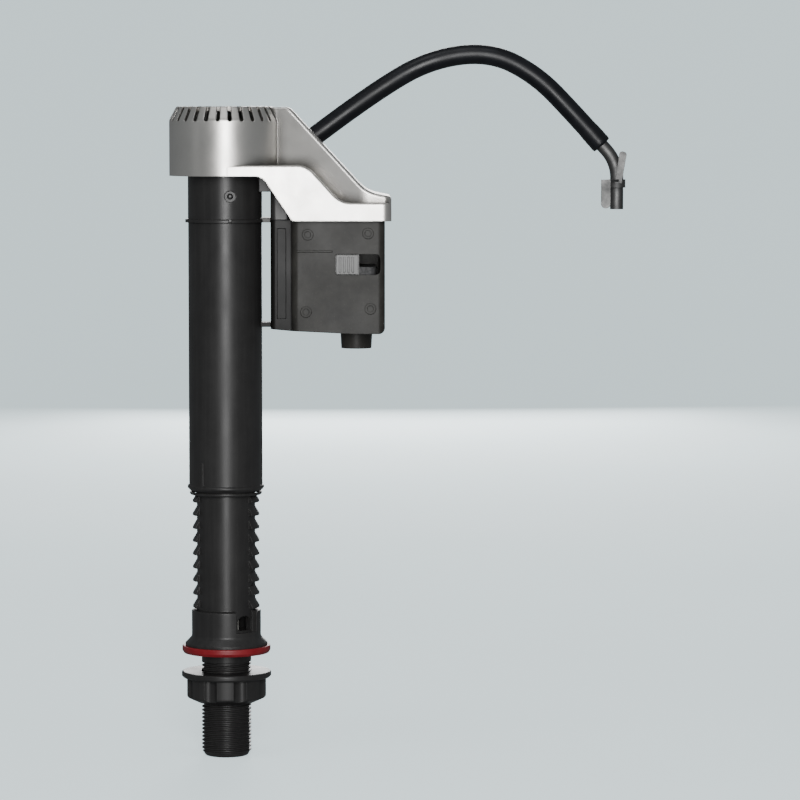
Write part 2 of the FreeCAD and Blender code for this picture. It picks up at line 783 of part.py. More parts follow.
def link_pin():
    head = cross_rod(LINK_R + 0.8, LINK_X, LINK_Z, -FORK_Y1 - 1.0, -FORK_Y1 - 0.05)
    return fused(head, cross_rod(LINK_R, LINK_X, LINK_Z, -FORK_Y1 - 1.0, FORK_Y1 + 0.8))


# ---------------------------------------------------------------- float cup
def cup_box(inset, bottom, top):
    """Upright box with rounded corners, inset from the cup's outside."""
    x0 = CUP_X0 + inset
    x1 = CUP_X1 - inset
    y = CUP_Y - inset
    radius = CUP_CORNER - inset
    return slab([(x0, -y, radius), (x1, -y, radius), (x1, y, radius), (x0, y, radius)], bottom, top)


def cup_neck():
    """Strip between the cup and the tube, with a channel down its front and its back."""
    neck = prism([
        (NECK_X, NECK_BOTTOM),
        (CUP_X0 + 1.0, CUP_BOTTOM + 0.8),
        (CUP_X0 + 1.0, NECK_TOP),
        (NECK_X, NECK_TOP),
    ], -NECK_Y, NECK_Y)
    corners = [edge for edge in neck.Edges
               if abs(edge.tangentAt(0).z) > 0.9 and edge.CenterOfMass.x < NECK_X + 1]
    neck = neck.makeFillet(2.5, corners)
    channels = [block(NECK_X + 3.2, CUP_X0 - 2.8, y - CHANNEL_DEPTH, y + CHANNEL_DEPTH,
                      NECK_BOTTOM + 5.0, NECK_TOP - 4.0) for y in (-NECK_Y, NECK_Y)]
    return neck.cut(channels)


def cup_trim():
    """Raised line and shallow round bosses on the cup's front."""
    face = -CUP_Y + 0.5
    trim = [block(CUP_X0 + 2.7, WINDOW_X0 - 1.5, -CUP_Y - 0.4, face, WINDOW_Z1 + 1.0, WINDOW_Z1 + 1.8)]
    for x, z in BOSS_PLACES:
        boss = cross_rod(2.6, x, z, -CUP_Y - 0.3, face)
        trim.append(boss.cut(cross_rod(1.5, x, z, -CUP_Y - 1.0, -CUP_Y - 0.1)))
    return trim


def float_cup():
    """Open-topped cup with a window in front, a spout below and a socket for the head's tongue."""
    body = cup_box(0.0, CUP_BOTTOM, CUP_TOP)
    slope = prism([
        (CUP_X0 - 1.0, CUP_BOTTOM - 1.0),
        (CUP_X0 + 30.0, CUP_BOTTOM - 1.0),
        (CUP_X0 + 30.0, CUP_BOTTOM),
        (CUP_X0 - 1.0, CUP_BOTTOM + 1.5),
    ], -CUP_Y - 1.0, CUP_Y + 1.0)
    low_end = prism([
        (CUP_X1 - 4.0, CUP_BOTTOM - 1.0),
        (CUP_X1 + 1.0, CUP_BOTTOM - 1.0),
        (CUP_X1 + 1.0, CUP_BOTTOM + 3.0),
        (CUP_X1, CUP_BOTTOM + 3.0),
        (CUP_X1, CUP_BOTTOM, 2.9),
        (CUP_X1 - 4.0, CUP_BOTTOM),
    ], -CUP_Y - 1.0, CUP_Y + 1.0)
    pad = block(HEAD_R - 1.5, NECK_X + 2.0, -4.5, 4.5, NECK_BOTTOM + 0.7, NECK_BOTTOM + 2.9)
    pad = pad.cut(upright(TUBE_R + 0.05, 0, 0, CUP_BOTTOM, CUP_TOP))
    tip = Vector(SPOUT_X, 0, SPOUT_END)
    spout = Part.makeCone(SPOUT_R, SPOUT_R + 0.5, CUP_BOTTOM + 1.0 - SPOUT_END, tip)
    body = fused(body.cut([slope, low_end]), cup_neck(), pad, spout)
    rails = [block(CUP_X0 + 2.8, CUP_X1 - 2.4, -CUP_Y + CUP_WALL - 0.2, -CUP_Y + CUP_WALL + 1.3, z, z + 1.5)
             for z in (WINDOW_Z0 - 3.7, WINDOW_Z1 + 2.5)]
    inside = cup_box(CUP_WALL, CUP_BOTTOM + 2.4, CUP_TOP + 1.0)
    left, right, half, depth = TONGUE
    socket = block(left - 0.05, right + 0.05, -half - 0.05, half + 0.05,
                   NECK_TOP - depth - 0.05, NECK_TOP + 1.0)
    body = fused(body.cut([inside, socket]), *(rails + cup_trim()))
    window = prism([
        (WINDOW_X0, WINDOW_Z0, 1.0),
        (WINDOW_X1, WINDOW_Z0, 2.4),
        (WINDOW_X1, WINDOW_Z1, 2.4),
        (WINDOW_X0, WINDOW_Z1, 1.0),
    ], -CUP_Y - 1.0, -CUP_Y + CUP_WALL + 0.5)
    drain = upright(DRAIN_R, SPOUT_X, 0, SPOUT_END, CUP_BOTTOM + 3.0)
    spout_bore = upright(SPOUT_BORE, SPOUT_X, 0, SPOUT_END - 1.0, CUP_BOTTOM + 0.2)
    return body.cut([window, drain, spout_bore])


def level_shutter():
    """Plate that slides behind the window, with a ridged thumb tab through it."""
    inner = -CUP_Y + CUP_WALL
    plate = block(46.0, TAB_END + 0.5, inner + 0.1, inner + 1.1, WINDOW_Z0 - 2.1, WINDOW_Z1 + 2.4)
    tab = block(WINDOW_X0 + 0.4, TAB_END, -CUP_Y - 0.3, inner + 0.5, WINDOW_Z0 + 0.35, WINDOW_Z1 - 0.35)
    ridges = [block(x, x + 0.9, -CUP_Y - 0.9, -CUP_Y, WINDOW_Z0 + 1.2, WINDOW_Z1 - 1.2)
              for x in RIDGES]
    return fused(plate, tab, *ridges)


def spout_cage():
    rim = ring(SPOUT_BORE, SPOUT_BORE - 1.0, SPOUT_END + 0.4, FLAP_Z - 0.05)
    arm = SPOUT_BORE - 0.5
    bar = block(-arm, arm, -0.6, 0.6, SPOUT_END + 0.8, FLAP_Z - 1.6)
    bars = [bar, bar.rotated(ORIGIN, UP, 90.0)]
    return fused(rim, *bars).translated(Vector(SPOUT_X, 0, 0))


def drain_flap():
    """Disc that rises against the cup's drain hole."""
    return revolve([
        (0.0, FLAP_Z),
        (FLAP_R, FLAP_Z),
        (FLAP_R, FLAP_Z + 1.35),
        (1.6, FLAP_Z + 1.35),
        (1.6, FLAP_Z + 3.05),
        (0.0, FLAP_Z + 3.05),
    ]).translated(Vector(SPOUT_X, 0, 0))


# ---------------------------------------------------------------- cap
def cap_drum(inset, bottom):
    """Round drum with a tapered shoulder."""
    r = CAP_R - inset
    shoulder = CAP_SHOULDER_R - 0.8 * inset
    top = CAP_TOP - inset
    return revolve([(0, bottom), (r, bottom), (r, CAP_SHOULDER_Z, 4.0), (shoulder, top, 1.6), (0, top)])


def inset_face(corners, place, inset):
    face = Part.Face(closed_wire(corners, place))
    return face.makeOffset2D(-inset) if inset else face


def cap_arm(inset):
    """Sloping cover over the lever, narrow at the drum and wide over the cup."""
    profile = inset_face([
        (0.0, CAP_BOTTOM + 0.5),
        (19.0, CAP_BOTTOM + 0.5),
        (32.5, SKIRT_BOTTOM + 1.5),
        (CAP_END_X, SKIRT_BOTTOM + 1.5),
        (CAP_END_X, 219.4, 1.9),
        (67.8, 221.8, 16.0),
        (31.0, CAP_TOP - 0.4, 4.0),
        (0.0, CAP_TOP - 0.4),
    ], side, inset)
    outline = inset_face([
        (0.0, -ARM_Y),
        (24.0, -ARM_Y, 20.0),
        (66.0, -ARM_WIDE_Y, 20.0),
        (CAP_END_X, -ARM_WIDE_Y - 0.5, 3.4),
        (CAP_END_X, ARM_WIDE_Y + 0.5, 3.4),
        (66.0, ARM_WIDE_Y, 20.0),
        (24.0, ARM_Y, 20.0),
        (0.0, ARM_Y),
    ], plan, inset)
    long = profile.translated(Vector(0, -CAP_R, 0)).extrude(Vector(0, 2 * CAP_R, 0))
    wide = outline.translated(Vector(0, 0, SKIRT_BOTTOM - 5.0)).extrude(Vector(0, 0, 70.0))
    return long.common(wide)


def cap_skirt(inset):
    """Skirt over the cup, whose sides meet the drum without a step."""
    profile = inset_face([
        (2.0, CAP_BOTTOM),
        (18.4, CAP_BOTTOM, 6.0),
        (32.5, SKIRT_BOTTOM, 2.0),
        (CAP_END_X, SKIRT_BOTTOM),
        (CAP_END_X, 216.5, 1.9),
        (55.6, 216.5, 12.0),
        (39.5, 234.2, 10.0),
        (2.0, 234.2),
    ], side, inset)
    outline = inset_face([
        (2.0, -CAP_R),
        (CAP_END_X, -SKIRT_Y, 4.0),
        (CAP_END_X, SKIRT_Y, 4.0),
        (2.0, CAP_R),
    ], plan, inset)
    long = profile.translated(Vector(0, -CAP_R - 1.0, 0)).extrude(Vector(0, 2 * CAP_R + 2.0, 0))
    wide = outline.translated(Vector(0, 0, SKIRT_BOTTOM - 5.0)).extrude(Vector(0, 0, 70.0))
    return long.common(wide)


def softened(cover, lowest, radius):
    """Round the long edges where a cover's top meets its two sides."""
    rims = []
    for edge in cover.Edges:
        box = edge.BoundBox
        upward = box.XLength < 0.01
        beside = min(abs(box.YMin), abs(box.YMax)) > 5.5 and box.YLength < 5.0 + ARM_Y
        if beside and not upward and box.XMax > 24.0 and box.ZMin > lowest:
            rims.append(edge)
    return cover.makeFillet(radius, rims)


def cap_vents():
    """Round-ended slots all round the drum's shoulder, save behind the arm."""
    outline = [
        (-VENT_HALF, CAP_TOP + 1.0),
        (-VENT_HALF, VENT_BOTTOM, 0.95),
        (VENT_HALF, VENT_BOTTOM, 0.95),
        (VENT_HALF, CAP_TOP + 1.0),
    ]
    inner = CAP_SHOULDER_R - 0.9
    return [radial_cut(outline, inner, CAP_R + 1.0, VENT_FIRST + n * VENT_STEP) for n in range(VENT_COUNT)]


def top_cap():
    """Drum, arm and skirt as one thin shell, open below."""
    outside = fused(
        cap_drum(0.0, CAP_BOTTOM),
        softened(cap_arm(0.0), 214.0, 1.5),
        softened(cap_skirt(0.0), 214.0, 1.0),
    )
    hollow = cap_skirt(WALL)
    lower = hollow.translated(Vector(0, 0, -2.2 * WALL))
    body = outside.cut([cap_drum(WALL, CAP_BOTTOM - 1.0), cap_arm(WALL), hollow, lower])
    ribs = [block(BOWL_R - 1.6, CAP_R - 1.0, -0.8, 0.8, 240.35, 256.0).rotated(ORIGIN, UP, angle)
            for angle in RIB_ANGLES]
    dish = revolve([
        (0, CAP_TOP - 0.5),
        (DISH_R - 0.5, CAP_TOP - 0.5),
        (DISH_R, CAP_TOP + 1),
        (0, CAP_TOP + 1),
    ])
    dish = dish.cut(block(9.0, 30.0, -12.0, 12.0, CAP_TOP - 2, CAP_TOP + 2))
    return fused(body, *ribs).cut(cap_vents() + [dish])


# ---------------------------------------------------------------- refill hose
def hose_points():
    return [Vector(x, HOSE_Y, z) for x, z in HOSE_ROUTE]


def bend_radius(points, i):
    """Largest radius that the two runs at a route point allow."""
    back = points[i - 1] - points[i]
    on = points[i + 1] - points[i]
    half_turn = (math.pi - back.getAngle(on)) / 2
    return BEND_SHARE * min(back.Length, on.Length) / math.tan(half_turn)


def route_wire(points, radii):
    """Straight runs joined by tangent arcs."""
    edges = []
    here = points[0]
    for i in range(1, len(points) - 1):
        start, middle, end = corner_arc(points[i - 1], points[i], points[i + 1], radii[i - 1])
        edges.append(Part.LineSegment(here, start).toShape())
        edges.append(Part.Arc(start, middle, end).toShape())
        here = end
    edges.append(Part.LineSegment(here, points[-1]).toShape())
    return Part.Wire(edges)


def tube_along(wire, radius):
    """Round section swept along a wire."""
    start = wire.Edges[0].valueAt(wire.Edges[0].FirstParameter)
    along = wire.Edges[0].tangentAt(wire.Edges[0].FirstParameter)
    section = Part.Wire([Part.Circle(start, along, radius).toShape()])
    return wire.makePipeShell([section], True, True)


def refill_hose():
    points = hose_points()
    radii = [bend_radius(points, i) for i in range(1, len(points) - 1)]
    wire = route_wire(points, radii)
    hose = tube_along(wire, HOSE_R).cut(tube_along(wire, HOSE_BORE))
    section = math.pi * (HOSE_R ** 2 - HOSE_BORE ** 2)
    print("hose length %.1f, radii %s" % (wire.Length, ", ".join("%.0f" % r for r in radii)))
    print("hose volume %.1f, section times length %.1f" % (hose.Volume, section * wire.Length))
    return hose


def refill_elbow():
    """Elbow that leaves the head backwards and turns up into a hose barb."""
    start = Vector(ELBOW_X, 15.6, ELBOW_Z)
    turn = Vector(ELBOW_X, HOSE_Y, ELBOW_Z)
    exit_point = hose_points()[0]
    along = (exit_point - turn).normalize()
    shoulder = exit_point - along * 2.2
    tip = exit_point + along * BARB_LENGTH
    body = fused(rod(ELBOW_R, start, turn), Part.makeSphere(ELBOW_R + 0.5, turn),
                 rod(ELBOW_R, turn, shoulder), rod(5.4, shoulder, exit_point), rod(2.9, exit_point, tip),
                 rod(5.6, Vector(ELBOW_X, 22.1, ELBOW_Z), Vector(ELBOW_X, 24.3, ELBOW_Z)))
    barbs = [Part.makeCone(HOSE_BORE, 2.6, 3.0, exit_point + along * d, along) for d in BARBS]
    groove = rod(5.0, Vector(ELBOW_X, 17.7, ELBOW_Z), Vector(ELBOW_X, 19.3, ELBOW_Z))
    groove = groove.cut(cross_rod(3.1, ELBOW_X, ELBOW_Z, 17.0, 20.0))
    water = fused(rod(ELBOW_BORE, start - ACROSS, turn), Part.makeSphere(ELBOW_BORE, turn),
                  rod(ELBOW_BORE, turn, tip + along))
    return fused(body, *barbs).cut([groove, water])


def elbow_o_ring():
    return Part.makeTorus(3.62, 0.5, Vector(ELBOW_X, 18.5, ELBOW_Z), ACROSS)


def clip_points():
    """Line of the clip's spout, from inside the hose to its open lower end."""
    points = hose_points()
    along = (points[-1] - points[-2]).normalize()
    start = points[-1] - along * SPOUT_IN_HOSE
    drop = (CLIP_X - start.x) / along.x
    return [start, start + along * drop, Vector(CLIP_X, HOSE_Y, CLIP_END)]


def clip_spout():
    wire = route_wire(clip_points(), [CLIP_BEND])
    return tube_along(wire, CLIP_R).cut(tube_along(wire, CLIP_BORE))


def clip_hook():
    """Bent strip: a band round the spout, a tongue outside the pipe's rim and a finger tab."""
    inner = CLIP_R + 0.02
    band = ring(inner + HOOK_T, inner, BAND_LOW, BAND_TOP).translated(Vector(CLIP_X, HOSE_Y, 0))
    left = HOOK_X - HOOK_WIDTH / 2
    right = HOOK_X + HOOK_WIDTH / 2
    front = HOSE_Y - CLIP_R - HOOK_GAP
    near = HOSE_Y - inner - 0.2
    shelf = slab([
        (left, front - HOOK_T),
        (right, front - HOOK_T),
        (CLIP_X + 1.5, near),
        (CLIP_X - 1.7, near + 0.1),
    ], BAND_TOP - HOOK_T, BAND_TOP)
    tongue = prism([
        (left, HOOK_END, 2.2),
        (right, HOOK_END, 2.2),
        (right, BAND_TOP, 0.4),
        (left, BAND_TOP, 0.4),
    ], front - HOOK_T, front)
    tab = prism([
        (CLIP_X - 1.3, BAND_TOP - 2.0),
        (CLIP_X + 2.1, BAND_TOP - 2.0),
        (CLIP_X + 4.7, TAB_TOP - 1.0, 1.4),
        (CLIP_X + 1.3, TAB_TOP, 1.4),
    ], HOSE_Y - inner - HOOK_T, HOSE_Y - inner)
    return fused(band, shelf, tongue, tab)


# ---------------------------------------------------------------- all nodes
os.makedirs("parts", exist_ok=True)
save("shank_body", shank_body())
save("shank_washer", shank_washer())
save("lock_nut", lock_nut())
save("inlet_pipe", inlet_pipe())
save("inlet_screen", inlet_screen())
save("inlet_o_rings", *inlet_o_rings())
save("guide_ring", guide_ring())
save("upper_tube", upper_tube())
save("riser_tube", riser_tube())
save("valve_body", valve_body())
save("head_rivet", head_rivet())
save("diaphragm", diaphragm())
save("valve_disc", valve_disc())
save("bonnet", bonnet())
save("bonnet_o_ring", bonnet_o_ring())
save("lever_pin", lever_pin())
save("lever", lever())
save("pilot_pad", pilot_pad())
save("float", float_block())
save("float_rod", float_rod())
save("link_pin", link_pin())
save("float_cup", float_cup())
save("level_shutter", level_shutter())
save("spout_cage", spout_cage())
save("drain_flap", drain_flap())
save("top_cap", top_cap())
save("refill_elbow", refill_elbow())
save("elbow_o_ring", elbow_o_ring())
save("refill_hose", refill_hose())
save("clip_spout", clip_spout())
save("clip_hook", clip_hook())
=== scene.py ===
import json
import math

import bpy
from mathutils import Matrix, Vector


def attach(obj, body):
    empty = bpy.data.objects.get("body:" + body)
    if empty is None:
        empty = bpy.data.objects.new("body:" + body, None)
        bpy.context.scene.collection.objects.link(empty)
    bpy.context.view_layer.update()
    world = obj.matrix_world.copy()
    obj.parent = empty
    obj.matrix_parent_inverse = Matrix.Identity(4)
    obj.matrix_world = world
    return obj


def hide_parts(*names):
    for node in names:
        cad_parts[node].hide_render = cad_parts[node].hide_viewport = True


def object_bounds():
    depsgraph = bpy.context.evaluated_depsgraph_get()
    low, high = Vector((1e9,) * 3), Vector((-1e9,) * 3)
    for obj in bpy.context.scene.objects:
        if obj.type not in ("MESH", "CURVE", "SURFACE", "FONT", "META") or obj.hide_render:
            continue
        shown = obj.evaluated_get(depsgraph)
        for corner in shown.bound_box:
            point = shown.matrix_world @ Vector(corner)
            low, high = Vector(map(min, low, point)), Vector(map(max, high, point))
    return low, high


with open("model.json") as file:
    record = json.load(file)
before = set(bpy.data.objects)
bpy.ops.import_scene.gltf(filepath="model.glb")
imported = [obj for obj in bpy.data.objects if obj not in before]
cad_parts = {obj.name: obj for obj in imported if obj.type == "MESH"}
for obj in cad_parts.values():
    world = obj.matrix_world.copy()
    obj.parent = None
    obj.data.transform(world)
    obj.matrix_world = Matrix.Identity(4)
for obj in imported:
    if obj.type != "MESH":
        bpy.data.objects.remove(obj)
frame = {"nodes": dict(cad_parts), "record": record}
cad_low, cad_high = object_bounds()

MM = 0.001


# ---------------------------------------------------------------- node helpers
def new_material(name):
    """Empty node material with its Principled shader, which the helpers below feed."""
    made = bpy.data.materials.new(name)
    made.use_nodes = True
    tree = made.node_tree
    shader = tree.nodes["Principled BSDF"]
    return made, tree, shader


def position(tree, stretch=(1.0, 1.0, 1.0)):
    """Position on the piece in metres, scaled per axis so that a pattern can be drawn out."""
    coordinates = tree.nodes.new("ShaderNodeTexCoord")
    mapping = tree.nodes.new("ShaderNodeMapping")
    mapping.inputs["Scale"].default_value = stretch
    tree.links.new(coordinates.outputs["Object"], mapping.inputs["Vector"])
    return mapping.outputs["Vector"]


def noise(tree, scale, detail=3.0, rough=0.55, stretch=(1.0, 1.0, 1.0)):
    """Noise value from 0 to 1. Scale is in features per metre."""
    node = tree.nodes.new("ShaderNodeTexNoise")
    node.inputs["Scale"].default_value = scale
    node.inputs["Detail"].default_value = detail
    node.inputs["Roughness"].default_value = rough
    tree.links.new(position(tree, stretch), node.inputs["Vector"])
    return node.outputs["Fac"]


def remap(tree, value, low, high, to_low, to_high):
    """Maps value from low..high to to_low..to_high, and stops at the ends."""
    node = tree.nodes.new("ShaderNodeMapRange")
    node.inputs["From Min"].default_value = low
    node.inputs["From Max"].default_value = high
    node.inputs["To Min"].default_value = to_low
    node.inputs["To Max"].default_value = to_high
    tree.links.new(value, node.inputs["Value"])
    return node.outputs["Result"]


def combine(tree, operation, first, second):
    """Math node on two values, either of which may be a number."""
    node = tree.nodes.new("ShaderNodeMath")
    node.operation = operation
    for socket, value in zip(node.inputs, (first, second)):
        if isinstance(value, (int, float)):
            socket.default_value = value
        else:
            tree.links.new(value, socket)
    return node.outputs["Value"]


def mix_colour(tree, share, first, second):
    """Colour between first and second, each a colour or a node's output."""
    node = tree.nodes.new("ShaderNodeMix")
    node.data_type = "RGBA"
    tree.links.new(share, node.inputs["Factor"])
    first_socket, second_socket = [socket for socket in node.inputs if socket.type == "RGBA"]
    for socket, colour in ((first_socket, first), (second_socket, second)):
        if isinstance(colour, tuple):
            socket.default_value = (*colour, 1.0)
        else:
            tree.links.new(colour, socket)
    return next(socket for socket in node.outputs if socket.type == "RGBA")


def right_of(tree, x):
    """0 left of an X in metres and 1 right of it, with a narrow blend."""
    axes = tree.nodes.new("ShaderNodeSeparateXYZ")
    tree.links.new(position(tree), axes.inputs["Vector"])
    return remap(tree, axes.outputs["X"], x - 0.2 * MM, x + 0.2 * MM, 0.0, 1.0)


def rounded_normal(tree, radius):
    """Normal that turns smoothly over an edge, as a moulded edge does."""
    node = tree.nodes.new("ShaderNodeBevel")
    node.samples = 6
    node.inputs["Radius"].default_value = radius
    return node.outputs["Normal"]


def edge_share(tree, normal):
    """0 on flat ground, rising to 1 at a sharp edge."""
    geometry = tree.nodes.new("ShaderNodeNewGeometry")
    dot = tree.nodes.new("ShaderNodeVectorMath")
    dot.operation = "DOT_PRODUCT"
    tree.links.new(normal, dot.inputs[0])
    tree.links.new(geometry.outputs["Normal"], dot.inputs[1])
    return remap(tree, dot.outputs["Value"], 0.995, 0.80, 0.0, 1.0)


def hollow_share(tree, reach):
    """1 deep in an inside corner, falling to 0 on open ground; it masks painted shade in corners."""
    node = tree.nodes.new("ShaderNodeAmbientOcclusion")
    node.samples = 6
    node.inputs["Distance"].default_value = reach
    return remap(tree, node.outputs["AO"], 0.55, 0.97, 1.0, 0.0)


def bump(tree, height, depth, normal=None):
    """Bump of a real depth in metres over a 0..1 height."""
    node = tree.nodes.new("ShaderNodeBump")
    node.inputs["Strength"].default_value = 1.0
    node.inputs["Distance"].default_value = depth
    tree.links.new(height, node.inputs["Height"])
    if normal is not None:
        tree.links.new(normal, node.inputs["Normal"])
    return node.outputs["Normal"]


# ---------------------------------------------------------------- materials
def moulded_plastic(name, colour, worn, roughness, grain=2600.0, grain_depth=0.006 * MM,
                    mottle=0.25, specular=0.5, streaks=0.0, painted_shade_until=None):
    """Injection-moulded plastic: fine spark grain, cloudy tone, paler edges and soft corners.

    Mottle and streaks are the most that clouds and drawn lines add of the worn colour. The last
    argument is an X in metres; left of it the colour is drawn darker, as painted shade on a recessed
    neck.
    """
    made, tree, shader = new_material(name)
    corners = rounded_normal(tree, 0.45 * MM)
    clouds = remap(tree, noise(tree, 70.0, detail=5.0, rough=0.62), 0.30, 0.72, 0.0, mottle)
    specks = remap(tree, noise(tree, 900.0, detail=2.0, rough=0.5), 0.62, 0.74, 0.0, 0.5 * mottle)
    tone = combine(tree, "ADD", clouds, specks)
    if streaks:
        lines = noise(tree, 420.0, detail=3.0, rough=0.6, stretch=(1.0, 1.0, 0.035))
        drawn = remap(tree, lines, 0.42, 0.70, 0.0, streaks)
        tone = combine(tree, "ADD", tone, drawn)
    scuffs = remap(tree, noise(tree, 260.0, detail=4.0, rough=0.7), 0.45, 0.65, 0.15, 0.8)
    rubbed = combine(tree, "MULTIPLY", edge_share(tree, corners), scuffs)
    share = combine(tree, "MAXIMUM", tone, rubbed)
    tint = mix_colour(tree, share, colour, worn)
    # Painted shade: left of that X the colour is drawn darker, for the recessed neck that falls in
    # shade.
    if painted_shade_until is not None:
        shade = tuple(0.3 * channel for channel in colour)
        tint = mix_colour(tree, right_of(tree, painted_shade_until), shade, tint)
    tree.links.new(tint, shader.inputs["Base Color"])
    patches = noise(tree, 38.0, detail=4.0, rough=0.6)
    sheen = remap(tree, patches, 0.3, 0.7, roughness - 0.05, roughness + 0.07)
    tree.links.new(sheen, shader.inputs["Roughness"])
    shader.inputs["Specular IOR Level"].default_value = specular
    fine = noise(tree, grain, detail=2.0, rough=0.5)
    waves = noise(tree, 24.0, detail=2.0, rough=0.4)
    surface = bump(tree, waves, 0.05 * MM, corners)
    tree.links.new(bump(tree, fine, grain_depth, surface), shader.inputs["Normal"])
    return made


def silver_finish():
    """Satin metallic coating over plastic: fine flake, faint orange peel, and painted shade that
    darkens the inside corners.
    """
    made, tree, shader = new_material("silver_coating")
    corners = rounded_normal(tree, 0.7 * MM)
    flake = remap(tree, noise(tree, 5200.0, detail=1.0, rough=0.5), 0.35, 0.65, 0.0, 0.35)
    clouds = remap(tree, noise(tree, 45.0, detail=4.0, rough=0.6), 0.30, 0.70, 0.0, 0.40)
    share = combine(tree, "ADD", flake, clouds)
    coat = mix_colour(tree, share, (0.70, 0.685, 0.655), (0.55, 0.53, 0.50))
    # Painted shade: inside corners, such as under the skirt's ledge and where the drum meets the arm,
    # are drawn darker in the colour.
    painted_corner_shade = combine(tree, "MULTIPLY", hollow_share(tree, 6.0 * MM), 0.90)
    tint = mix_colour(tree, painted_corner_shade, coat, (0.060, 0.055, 0.050))
    tree.links.new(tint, shader.inputs["Base Color"])
    shader.inputs["Metallic"].default_value = 0.88
    blotch = remap(tree, noise(tree, 60.0, detail=5.0, rough=0.65), 0.30, 0.70, 0.28, 0.36)
    tree.links.new(blotch, shader.inputs["Roughness"])
    peel = noise(tree, 700.0, detail=2.0, rough=0.45)
    waves = noise(tree, 20.0, detail=2.0, rough=0.4)
    surface = bump(tree, waves, 0.04 * MM, corners)
    tree.links.new(bump(tree, peel, 0.010 * MM, surface), shader.inputs["Normal"])
    return made


def rubber(name, colour, chalk, roughness, pore_depth=0.02 * MM, specular=0.5):
    """Moulded rubber: fine pores, a chalky bloom and soft edges."""
    made, tree, shader = new_material(name)
    corners = rounded_normal(tree, 0.35 * MM)
    bloom = remap(tree, noise(tree, 120.0, detail=5.0, rough=0.65), 0.42, 0.75, 0.0, 0.45)
    rubbed = combine(tree, "MULTIPLY", edge_share(tree, corners), 0.35)
    share = combine(tree, "MAXIMUM", bloom, rubbed)
    tree.links.new(mix_colour(tree, share, colour, chalk), shader.inputs["Base Color"])
    patches = noise(tree, 55.0, detail=3.0, rough=0.6)
    tone = remap(tree, patches, 0.3, 0.7, roughness - 0.06, roughness + 0.08)
    tree.links.new(tone, shader.inputs["Roughness"])
    shader.inputs["Specular IOR Level"].default_value = specular
    pores = noise(tree, 2100.0, detail=3.0, rough=0.6)
    tree.links.new(bump(tree, pores, pore_depth, corners), shader.inputs["Normal"])
    return made


def steel():
    """Stainless strip: drawn hairlines, smudges and soft corners."""
    made, tree, shader = new_material("stainless_steel")
    corners = rounded_normal(tree, 0.25 * MM)
    smudge = remap(tree, noise(tree, 190.0, detail=4.0, rough=0.6), 0.35, 0.72, 0.0, 1.0)
    metal = mix_colour(tree, smudge, (0.17, 0.17, 0.168), (0.105, 0.105, 0.105))
    tree.links.new(metal, shader.inputs["Base Color"])
    shader.inputs["Metallic"].default_value = 1.0
    tree.links.new(remap(tree, smudge, 0.0, 1.0, 0.50, 0.62), shader.inputs["Roughness"])
    hairlines = noise(tree, 2600.0, detail=2.0, rough=0.5, stretch=(1.0, 1.0, 0.05))
    tree.links.new(bump(tree, hairlines, 0.004 * MM, corners), shader.inputs["Normal"])
    return made


def foam():
    """Closed-cell foam: packed grey beads with darker seams."""
    made, tree, shader = new_material("bead_foam")
    cells = tree.nodes.new("ShaderNodeTexVoronoi")
    cells.feature = "DISTANCE_TO_EDGE"
    cells.inputs["Scale"].default_value = 420.0
    tree.links.new(position(tree), cells.inputs["Vector"])
    seam = remap(tree, cells.outputs["Distance"], 0.0, 0.12, 1.0, 0.0)
    bead = mix_colour(tree, seam, (0.060, 0.060, 0.062), (0.022, 0.022, 0.022))
    tree.links.new(bead, shader.inputs["Base Color"])
    tree.links.new(remap(tree, noise(tree, 90.0), 0.3, 0.7, 0.62, 0.78), shader.inputs["Roughness"])
    tree.links.new(bump(tree, cells.outputs["Distance"], 0.12 * MM), shader.inputs["Normal"])
    return made


CUP_LEFT = 32.0 * MM            # the float cup's left wall, where the painted shade on its recessed neck ends

MATERIALS = {
    "black_plastic": moulded_plastic(
        "charcoal_plastic", colour=(0.0175, 0.0170, 0.0170), worn=(0.046, 0.045, 0.044),
        roughness=0.37, streaks=0.20, specular=0.36),
    "cup_grey": moulded_plastic(
        "warm_grey_plastic", colour=(0.0155, 0.015, 0.0135), worn=(0.040, 0.0385, 0.0345),
        roughness=0.46, grain=1700.0, grain_depth=0.010 * MM, mottle=1.0, specular=0.24,
        painted_shade_until=CUP_LEFT),
    "natural_plastic": moulded_plastic(
        "natural_acetal", colour=(0.60, 0.59, 0.55), worn=(0.72, 0.71, 0.68), roughness=0.38),
    "shutter_grey": moulded_plastic(
        "light_grey_plastic", colour=(0.15, 0.15, 0.147), worn=(0.24, 0.24, 0.235),
        roughness=0.42),
    "silver_plastic": silver_finish(),
    "red_rubber": rubber(
        "red_rubber", colour=(0.20, 0.005, 0.010), chalk=(0.30, 0.032, 0.037), roughness=0.42),
    "black_rubber": rubber(
        "black_rubber", colour=(0.012, 0.012, 0.012), chalk=(0.045, 0.045, 0.045),
        roughness=0.55),
    "hose_rubber": rubber(
        "hose_rubber", colour=(0.0050, 0.0056, 0.0075), chalk=(0.016, 0.0175, 0.022),
        roughness=0.38, pore_depth=0.012 * MM, specular=0.32),
    "float_foam": foam(),
    "steel": steel(),
}


def finish_cad_nodes():
    """Gives each CAD node its slot's material."""
    slots = {row["node"]: row["material_slot"] for row in frame["record"]["subparts"]}
    for name, node in frame["nodes"].items():
        node.data.materials.clear()
        node.data.materials.append(MATERIALS[slots[name]])


finish_cad_nodes()


# ---------------------------------------------------------------- rings
def ring_faces(rings, sides, start=0):
    """Four-sided faces that join each ring of vertices to the next, from vertex start on."""
    faces = []
    for row in range(rings - 1):
        for k in range(sides):
            a = start + row * sides + k
            b = start + row * sides + (k + 1) % sides
            faces.append((a, b, b + sides, a + sides))
    return faces


